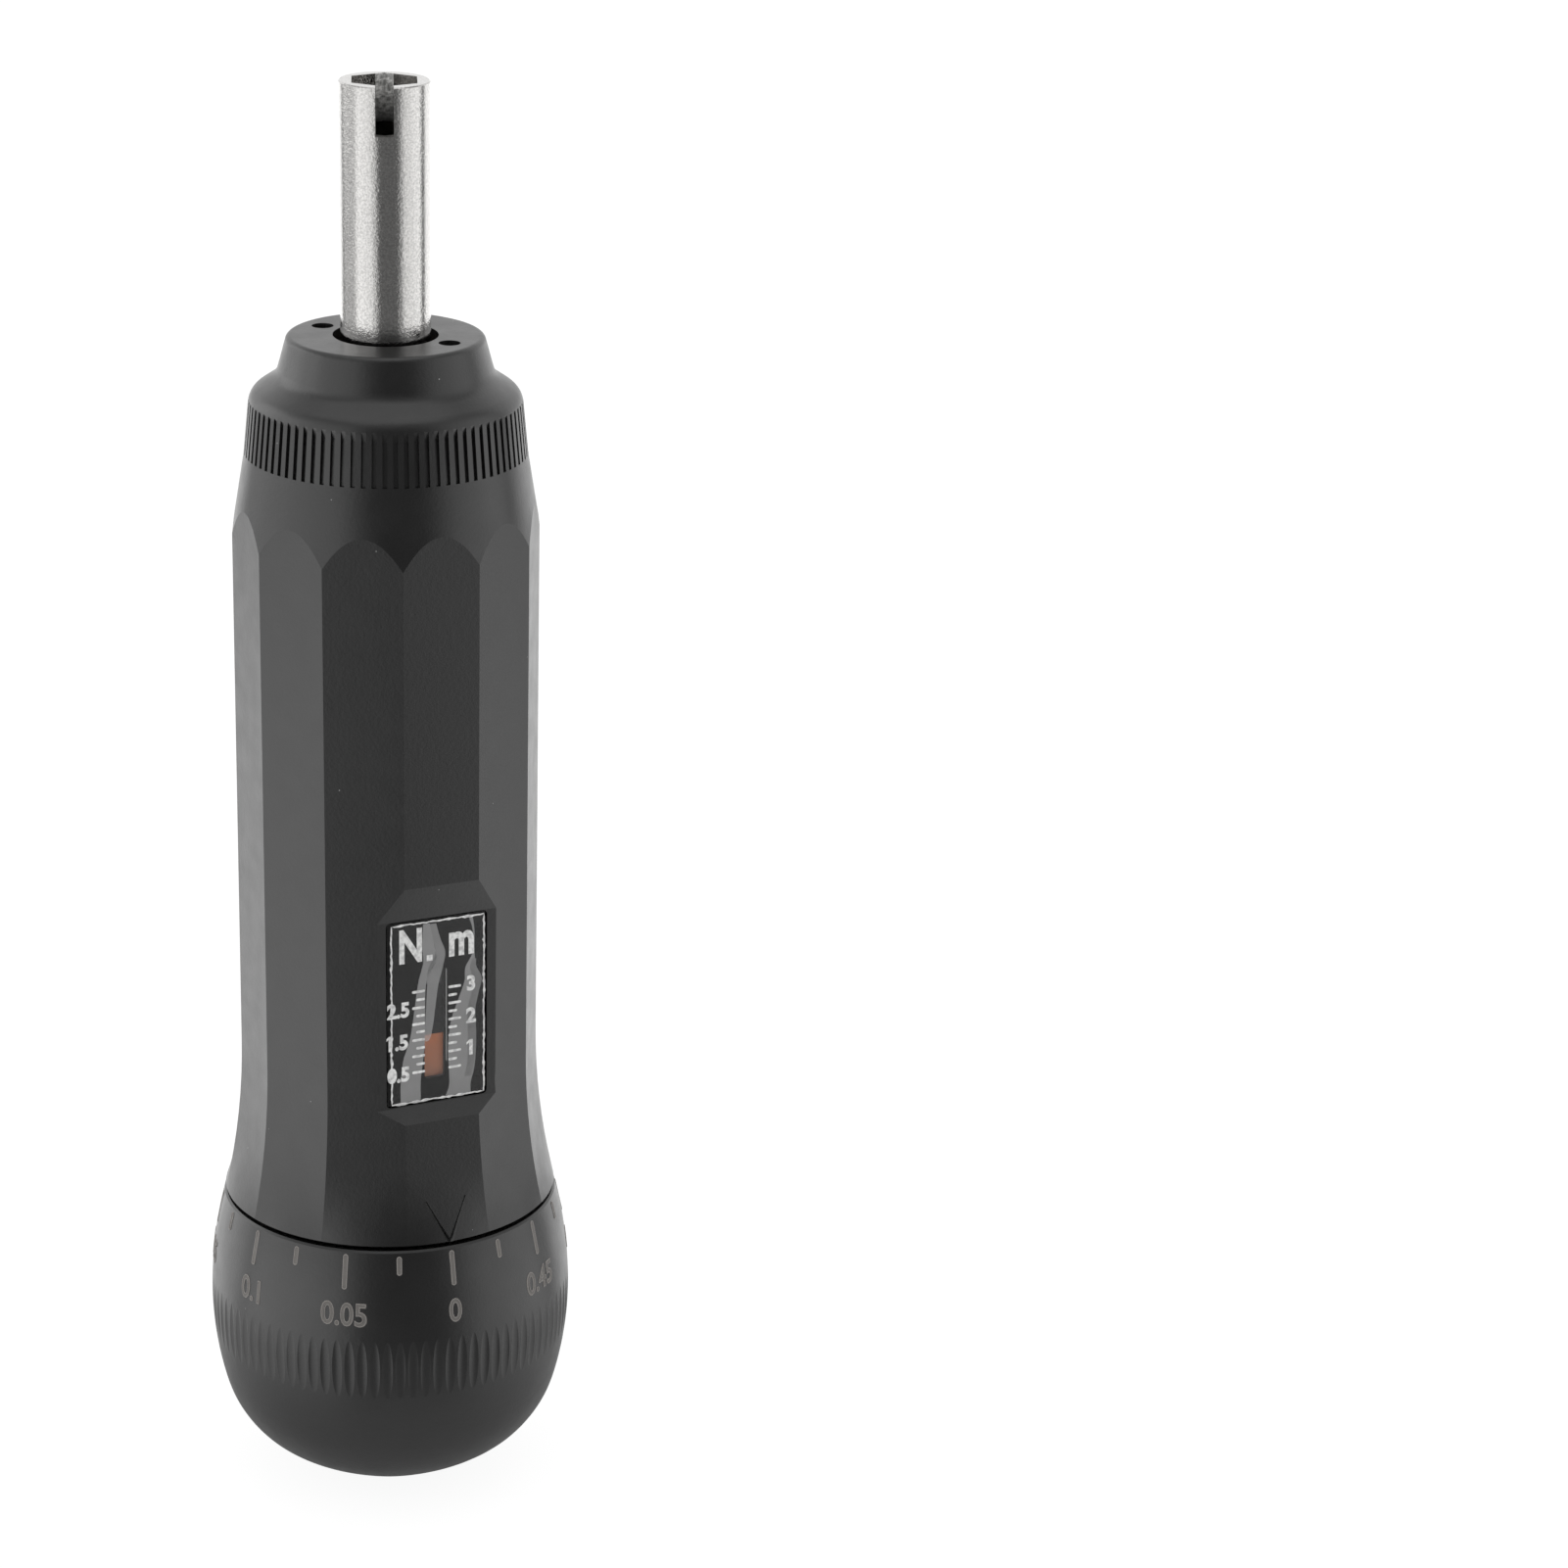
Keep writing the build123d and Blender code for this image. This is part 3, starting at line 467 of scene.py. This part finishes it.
# ================================================================== bit holder's mouth
def make_socket_back():
    """Close the slot's far end: no light shows through the slot, so that side is whole."""
    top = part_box("bit_holder")[1].z
    outward = Vector((cos(socket_slot_turn), sin(socket_slot_turn), 0))
    across = Vector((-outward.y, outward.x, 0))
    half = socket_slot_width / 2
    bm = bmesh.new()
    rings = []
    for z, radius in ((top - socket_slot_depth, shaft_radius), (top - rim_break, shaft_radius),
                      (top, shaft_radius - rim_break)):
        outline = [(socket_corner, 0.0), (socket_corner - half / sqrt(3), half)]
        for step in range(9):
            side = half * (1 - step / 4)
            outline.append((sqrt(radius ** 2 - side ** 2), side))
        outline.append((socket_corner - half / sqrt(3), -half))
        rings.append([bm.verts.new(outward * out + across * side + Vector((0, 0, z)))
                      for out, side in outline])
    count = len(rings[0])
    for low, high in zip(rings, rings[1:]):
        for k in range(count):
            m = (k + 1) % count
            bm.faces.new((low[k], low[m], high[m], high[k]))
    bm.faces.new(rings[0])
    bm.faces.new(rings[-1])
    bmesh.ops.recalc_face_normals(bm, faces=bm.faces)
    piece = mesh_object("socket_back", bm, bpy.data.materials["nickel_plate"])
    foot = top - socket_slot_depth
    shade_end = foot + socket_shade * socket_slot_depth
    # its faces turned in towards the axis get the painted shade
    piece.data.materials.append(grained_nickel("socket_inside_painted_shade", foot, shade_end))
    for face in piece.data.polygons:
        if face.normal.dot(outward) < -0.5:
            face.material_index = 1
    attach(piece, "output")


# ================================================================== marks on the knob
def surface_of(node):
    """A search tree over a CAD node's mesh, for laying marks on it."""
    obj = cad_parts[node]
    return BVHTree.FromObject(obj, bpy.context.evaluated_depsgraph_get())


def lay_on_round(bm, tree, reach, turn):
    """Wrap a flat drawing round the tool: x runs along the girth, y up the axis and z outwards.
    x is metres at the radius reach, and the drawing's x = 0 comes to stand turn round from -Y."""
    for vert in bm.verts:
        along, height, out = vert.co
        angle = turn + along / reach - pi / 2
        outward = Vector((cos(angle), sin(angle), 0))
        hit = tree.ray_cast(outward * 2 * reach + Vector((0, 0, height)), -outward)[0]
        radius = sqrt(hit.x ** 2 + hit.y ** 2) + out
        vert.co = outward * radius + Vector((0, 0, height))


def lay_on_lens(bm, layer):
    """Stand a flat drawing on the window: x and y become x and z, clear of the lens face."""
    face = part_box("window_lens")[0].y
    for vert in bm.verts:
        vert.co = (vert.co.x, face - layer * film_gap - vert.co.z, vert.co.y)


def curve_mesh(curve):
    """The mesh of a text or curve, as a bmesh; the curve is removed."""
    obj = collection_link(bpy.data.objects.new("drawing", curve))
    mesh = bpy.data.meshes.new_from_object(obj)
    bm = bmesh.new()
    bm.from_mesh(mesh)
    bpy.data.objects.remove(obj)
    bpy.data.meshes.remove(mesh)
    return bm


def words_mesh(words, height, squeeze=1.0, thicken=0.0, rim=0.0):
    """A word, centred and height metres tall: filled, or with a rim only a thin tube round the
    edge of each letter."""
    curve = bpy.data.curves.new("words", "FONT")
    curve.body = words
    curve.align_x = "CENTER"
    curve.resolution_u = 4
    cap = 0.73           # height of a figure in the font, at size 1
    curve.offset = thicken
    if rim:
        curve.fill_mode = "NONE"
        curve.bevel_depth = rim * cap / height
        curve.bevel_resolution = 1
    bm = curve_mesh(curve)
    bpy.data.curves.remove(curve)
    middle = (min(v.co.x for v in bm.verts) + max(v.co.x for v in bm.verts)) / 2
    low, high = min(v.co.y for v in bm.verts), max(v.co.y for v in bm.verts)
    scale = height / (high - low)
    for vert in bm.verts:
        x, y, z = vert.co
        vert.co = ((x - middle) * scale * squeeze, (y - (low + high) / 2) * scale, z * scale)
    return bm


def flag_one(bm, height):
    """Give the figure 1 that starts a word the slanted stroke at its head."""
    left, top = min(v.co.x for v in bm.verts), max(v.co.y for v in bm.verts)
    corners = ((0.02, 0.0), (-0.17, -0.17), (-0.17, -0.32), (0.02, -0.18))
    bm.faces.new([bm.verts.new((left + x * height, top + y * height, 0.0)) for x, y in corners])


def print_figures(words, beside, above, squeeze):
    """A number of the window's scale, from the middle of the scale and of its stroke."""
    bm = words_mesh(words, figure_height, squeeze, figure_weight)
    if words.startswith("1"):
        flag_one(bm, figure_height)
    return shift(bm, beside, above)


def capsule_mesh(width, length, rim=0.0):
    """A stroke with round ends, standing along y: filled, or only a thin tube round its edge."""
    curve = bpy.data.curves.new("stroke", "CURVE")
    curve.dimensions = "2D"
    curve.fill_mode = "NONE" if rim else "BOTH"
    curve.bevel_depth = rim
    curve.bevel_resolution = 1
    half, reach = width / 2, (length - width) / 2
    outline = [(half * cos(tau * k / 16), half * sin(tau * k / 16)) for k in range(16)]
    points = [(x, y + (reach if k <= 8 else -reach)) for k, (x, y) in enumerate(outline)]
    spline = curve.splines.new("POLY")
    spline.points.add(len(points) - 1)
    for point, (x, y) in zip(spline.points, points):
        point.co = (x, y, 0, 1)
    spline.use_cyclic_u = True
    bm = curve_mesh(curve)
    bpy.data.curves.remove(curve)
    return bm


def square_mesh(side):
    """A flat square."""
    bm = bmesh.new()
    bmesh.ops.create_grid(bm, x_segments=1, y_segments=1, size=side / 2)
    return bm


def shorten_edges(bm):
    """Divide long edges, so that a flat drawing can bend round the tool."""
    bmesh.ops.triangulate(bm, faces=bm.faces[:])
    for _ in range(4):
        long_edges = [e for e in bm.edges if e.calc_length() > longest_edge]
        if not long_edges:
            break
        bmesh.ops.subdivide_edges(bm, edges=long_edges, cuts=1)
        bmesh.ops.triangulate(bm, faces=[f for f in bm.faces if len(f.verts) > 3])


def shift(bm, x=0.0, y=0.0, z=0.0):
    """Move a drawing, and hand it back."""
    bmesh.ops.translate(bm, verts=bm.verts, vec=(x, y, z))
    return bm


def gather(parts):
    """One bmesh from several."""
    whole = bmesh.new()
    for bm in parts:
        mesh = bpy.data.meshes.new("part")
        bm.to_mesh(mesh)
        bm.free()
        whole.from_mesh(mesh)
        bpy.data.meshes.remove(mesh)
    return whole


def make_knob_scale():
    """Strokes and figures round the top of the knob, engraved and left light, with a painted
    highlight round each.
    """
    tree = surface_of("knob")
    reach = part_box("knob")[1].x
    fill, rim = [], []
    for step in range(knob_divisions):
        turn = -tau * step / knob_divisions
        low, high = long_stroke if step % 2 == 0 else short_stroke
        drawings = [(capsule_mesh(stroke_width, high - low, r), (low + high) / 2, r)
                    for r in (0.0, mark_rim)]
        if step % 2 == 0:
            words = f"{step // 2 * number_step:.2f}".rstrip("0") if step else "0"
            drawings += [(words_mesh(words, number_height, number_squeeze, number_weight, r),
                          number_middle, r) for r in (0.0, mark_rim)]
        for bm, middle, r in drawings:
            shift(bm, y=middle, z=mark_proud)
            if not r:
                shorten_edges(bm)
            lay_on_round(bm, tree, reach, turn)
            (rim if r else fill).append(bm)
    for name, parts, tint in (("knob_scale", fill, mark_tint),
                              ("knob_scale_rim_highlight", rim, mark_highlight_tint)):
        piece = mesh_object(name, gather(parts), plain_paint(name, tint, 0.5, 0.75))
        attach(piece, "knob")


def make_window_print():
    """Unit, strokes and figures of the torque scale, printed on the lens."""
    parts = [shift(words_mesh(letter, height, squeeze, unit_weight), x, y)
             for letter, height, squeeze, x, y in unit_letters]
    parts.append(shift(square_mesh(unit_dot), unit_dot_x, unit_dot_y))
    steps = round((scale_high - scale_low) / scale_step)
    for step in range(steps + 1):
        torque = scale_low + step * scale_step
        height = scale_zero + torque * scale_pitch
        length = long_tick if step % 2 == 0 else short_tick
        for side in (-1, 1):
            tick = capsule_mesh(tick_width, length)
            bmesh.ops.rotate(tick, verts=tick.verts, matrix=Matrix.Rotation(pi / 2, 3, "Z"))
            parts.append(shift(tick, side * (tick_start + length / 2) + print_middle, height))
        if torque == int(torque):
            parts.append(shift(print_figures(f"{torque:.0f}", *whole_figures), y=height))
        elif step % 4 == 0:
            parts.append(shift(print_figures(f"{torque:.1f}", *half_figures), y=height))
    bm = gather(parts)
    lay_on_lens(bm, print_layer)
    piece = mesh_object("window_print", bm, worn_print("print_white"))
    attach(piece, "handle")


def smooth_rows(rows, count):
    """Rows of numbers, eased through Catmull-Rom to count steps between each two."""
    result = []
    for k in range(len(rows) - 1):
        a, b = rows[max(k - 1, 0)], rows[k]
        c, d = rows[k + 1], rows[min(k + 2, len(rows) - 1)]
        for step in range(count):
            t = step / count
            result.append([0.5 * (2 * q + (r - p) * t + (2 * p - 5 * q + 4 * r - s) * t * t
                                  + (3 * q - p - 3 * r + s) * t ** 3)
                           for p, q, r, s in zip(a, b, c, d)])
    return result + [list(rows[-1])]


def film_corners():
    """The film's corners, anticlockwise from its lower left."""
    return ((film_left, film_low), (film_right, film_low),
            (film_right, film_high), (film_left, film_high))


def make_veil():
    """The film itself, a faint veil over the whole window."""
    veil = bmesh.new()
    veil.faces.new([veil.verts.new((x, y, 0)) for x, y in film_corners()])
    bmesh.ops.subdivide_edges(veil, edges=veil.edges[:], cuts=12, use_grid_fill=True)
    lay_on_lens(veil, film_layer)
    return mesh_object("film", veil, thin_film("film_veil", *veil_look))


def make_air_reflection(name, rows):
    """A painted reflection: a pale band where air is caught under the film."""
    bm = bmesh.new()
    pairs = [[bm.verts.new((edge * MM, height * MM, 0)) for edge in (one, other)]
             for height, one, other in smooth_rows(rows, air_steps)]
    for (a, b), (d, c) in zip(pairs, pairs[1:]):
        bm.faces.new((a, b, c, d))
    lay_on_lens(bm, air_layer)
    look = wide_reflection_look if name in ("air_reflection_left", "air_reflection_right") else thin_reflection_look
    return mesh_object(name, bm, thin_film(name, *look))


def make_film_edge():
    """The film's cut edge, which shows as an uneven white line."""
    chance = random.Random(7)
    edge = bmesh.new()
    corners = [Vector(corner) for corner in film_corners()]
    inner, outer = [], []
    for start, end in zip(corners, corners[1:] + corners[:1]):
        along = (end - start).normalized()
        inward = Vector((-along.y, along.x))
        count = round((end - start).length / film_step)
        for step in range(count):
            place = start.lerp(end, step / count)
            sway = film_sway * chance.uniform(-1, 1)
            width = film_line * chance.choice(film_half_widths)
            for points, reach in ((inner, sway + width), (outer, sway - width)):
                points.append(edge.verts.new((*(place + inward * reach), 0)))
    for k in range(len(inner)):
        m = (k + 1) % len(inner)
        edge.faces.new((inner[k], outer[k], outer[m], inner[m]))
    lay_on_lens(edge, edge_layer)
    return mesh_object("film_edge", edge, worn_print("film_edge_white"))


def make_film():
    """Clear film laid on the lens: a faint veil, painted reflections of air under it, and its
    bright edge.
    """
    pieces = [make_veil()]
    pieces += [make_air_reflection(name, rows) for name, rows in air_reflections.items()]
    pieces.append(make_film_edge())
    for piece in pieces:
        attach(piece, "handle")


# ================================================================== light, floor, camera
def camera_axes():
    """Right, up and forward of the camera."""
    place = Vector(camera_place)
    heading = Vector((-place.x, -place.y, 0)).normalized()
    heading = Matrix.Rotation(-radians(camera_turn), 3, "Z") @ heading
    dip, roll = radians(camera_dip), radians(camera_roll)
    forward = heading * cos(dip) - Vector((0, 0, 1)) * sin(dip)
    right = Vector((heading.y, -heading.x, 0))
    up = right.cross(forward)
    return (right * cos(roll) + up * sin(roll), up * cos(roll) - right * sin(roll), forward)


def make_camera():
    """A camera in front of the tool and to its left, above its top, that looks down at it."""
    data = bpy.data.cameras.new("camera")
    data.lens, data.sensor_width = camera_lens, 36.0
    data.clip_start, data.clip_end = 0.02, 20.0
    camera = collection_link(bpy.data.objects.new("camera", data))
    right, up, forward = camera_axes()
    turn = Matrix((right, up, -forward)).transposed()
    camera.matrix_world = Matrix.Translation(camera_place) @ turn.to_4x4()
    bpy.context.scene.camera = camera


def make_lights():
    """Soft boxes on both sides and above."""
    middle = Vector((0, 0, cad_box[1].z / 2))
    towards = atan2(front_y, front_x)
    for name, turn, size, distance, watts in soft_boxes:
        data = bpy.data.lights.new(name, "AREA")
        data.shape, data.size, data.energy = "SQUARE", size, watts
        light = collection_link(bpy.data.objects.new(name, data))
        away = Vector((0, 0, 1))
        if turn is not None:
            angle = towards + radians(turn)
            away = Vector((cos(angle), sin(angle), box_lift)).normalized()
        light.location = middle + away * distance
        light.rotation_mode = "QUATERNION"
        light.rotation_quaternion = away.to_track_quat("Z", "Y")


class Shader:
    """Short ways to add and join nodes in the world's or the floor's tree."""

    def __init__(self, owner):
        owner.use_nodes = True
        self.nodes, self.links = owner.node_tree.nodes, owner.node_tree.links

    def put(self, kind, *sources, **settings):
        """A node of this kind, its first inputs joined to sources or set to values."""
        node = self.nodes.new("ShaderNode" + kind)
        for name, value in settings.items():
            setattr(node, name, value)
        for socket, source in zip(node.inputs, sources):
            if hasattr(source, "links"):
                self.links.new(source, socket)
            elif source is not None:
                socket.default_value = source
        return node

    def maths(self, operation, *sources):
        return self.put("Math", *sources, operation=operation).outputs["Value"]

    def dot(self, vector, direction):
        return self.put("VectorMath", vector, direction, operation="DOT_PRODUCT").outputs["Value"]

    def ease(self, value, low, high):
        """From 0 at low to 1 at high, smoothly."""
        return self.put("MapRange", value, low, high, 0.0, 1.0,
                        interpolation_type="SMOOTHSTEP").outputs["Result"]

    def blend(self, factor, first, second):
        return self.put("MixShader", factor, first, second).outputs["Shader"]

    def glow_and_colour(self, glow, colour):
        """White light of its own, added to a matt colour."""
        light = self.put("Emission", white, glow).outputs["Emission"]
        matt = self.put("BsdfDiffuse", colour).outputs["BSDF"]
        return self.put("AddShader", light, matt).outputs["Shader"]

    def shiny_ray(self, path):
        """1 for what metal and glass show, and not for the light that falls through glass."""
        either = self.maths("MAXIMUM", path["Is Glossy Ray"], path["Is Transmission Ray"])
        return self.maths("MULTIPLY", either, self.maths("LESS_THAN", path["Diffuse Depth"], 0.5))

    def between(self, factor, first, second):
        """A number between two, each a socket or a value."""
        node = self.put("Mix", data_type="FLOAT")
        for name, source in (("Factor", factor), ("A", first), ("B", second)):
            if hasattr(source, "links"):
                self.links.new(source, node.inputs[name])
            else:
                node.inputs[name].default_value = source
        return node.outputs["Result"]

    def all_round(self, vector, brightness):
        """The brightness listed for the direction of a vector from the tool's axis."""
        ahead = self.dot(vector, (front_x, front_y, 0.0))
        right = self.dot(vector, (-front_y, front_x, 0.0))
        turn = self.maths("ARCTAN2", right, ahead)
        share = self.maths("ADD", self.maths("DIVIDE", turn, tau), 0.5)
        ramp = self.put("ValToRGB", share)
        stops = ramp.color_ramp.elements
        for degrees, level in brightness[1:-1]:
            stops.new(degrees / 360 + 0.5)
        for stop, (degrees, level) in zip(stops, brightness):
            stop.position = degrees / 360 + 0.5
            stop.color = (level, level, level, 1.0)
        return ramp.outputs["Color"]


def make_world():
    """Plain pale room. The camera, metal and glass see the white tent, open at the front."""
    world = bpy.data.worlds.new("room")
    bpy.context.scene.world = world
    tree = Shader(world)
    world.cycles.sampling_method = "NONE"
    direction = tree.put("TexCoord").outputs["Generated"]
    up = tree.dot(direction, (0.0, 0.0, 1.0))
    seen = tree.between(tree.ease(up, *overhead_blend), tree.all_round(direction, tent), overhead)
    path = tree.put("LightPath").outputs
    shiny = tree.shiny_ray(path)
    room = tree.put("Background", white, room_light).outputs["Background"]
    tent_seen = tree.put("Background", white, seen).outputs["Background"]
    backdrop = tree.put("Background", white, 1.0).outputs["Background"]
    shown = tree.blend(path["Is Camera Ray"], tree.blend(shiny, room, tent_seen), backdrop)
    tree.links.new(shown, tree.nodes["World Output"].inputs["Surface"])


def make_floor():
    """White floor that keeps the tool's soft shadow; shiny parts also see a painted shadow round
    the foot.
    """
    bm = bmesh.new()
    bmesh.ops.create_grid(bm, x_segments=1, y_segments=1, size=floor_reach)
    material = new_material("floor_white")
    floor = mesh_object("floor", bm, material)
    floor.location.z = cad_box[0].z
    material.cycles.emission_sampling = "NONE"
    tree = Shader(material)
    place = tree.put("TexCoord").outputs["Object"]
    distance = tree.put("VectorMath", place, operation="LENGTH").outputs["Value"]
    away = tree.between(tree.ease(distance, *far_blend),
                        tree.all_round(place, tent), tree.all_round(place, far_tent))
    # painted shadow round the foot, in the floor that shiny parts see
    level = tree.between(tree.ease(distance, *near_blend), mirrored_foot_shadow, away)
    tone = tree.put("CombineXYZ", *[tree.maths("MULTIPLY", level, mirror_tone)] * 3)
    mirrored = tree.glow_and_colour(tree.maths("MULTIPLY", level, mirror_glow),
                                    tone.outputs["Vector"])
    plain = tree.put("BsdfDiffuse", (*[floor_tone] * 3, 1.0)).outputs["BSDF"]
    lit = tree.glow_and_colour(floor_glow, (*[floor_shadow] * 3, 1.0))
    path = tree.put("LightPath").outputs
    shown = tree.blend(path["Is Camera Ray"],
                       tree.blend(tree.shiny_ray(path), plain, mirrored), lit)
    tree.links.new(shown, tree.nodes["Material Output"].inputs["Surface"])


make_camera()
make_world()
make_floor()
make_lights()
dress_all()
make_socket_back()
make_knob_scale()
make_window_print()
make_film()

scene = bpy.context.scene
scene.view_settings.view_transform = "Standard"
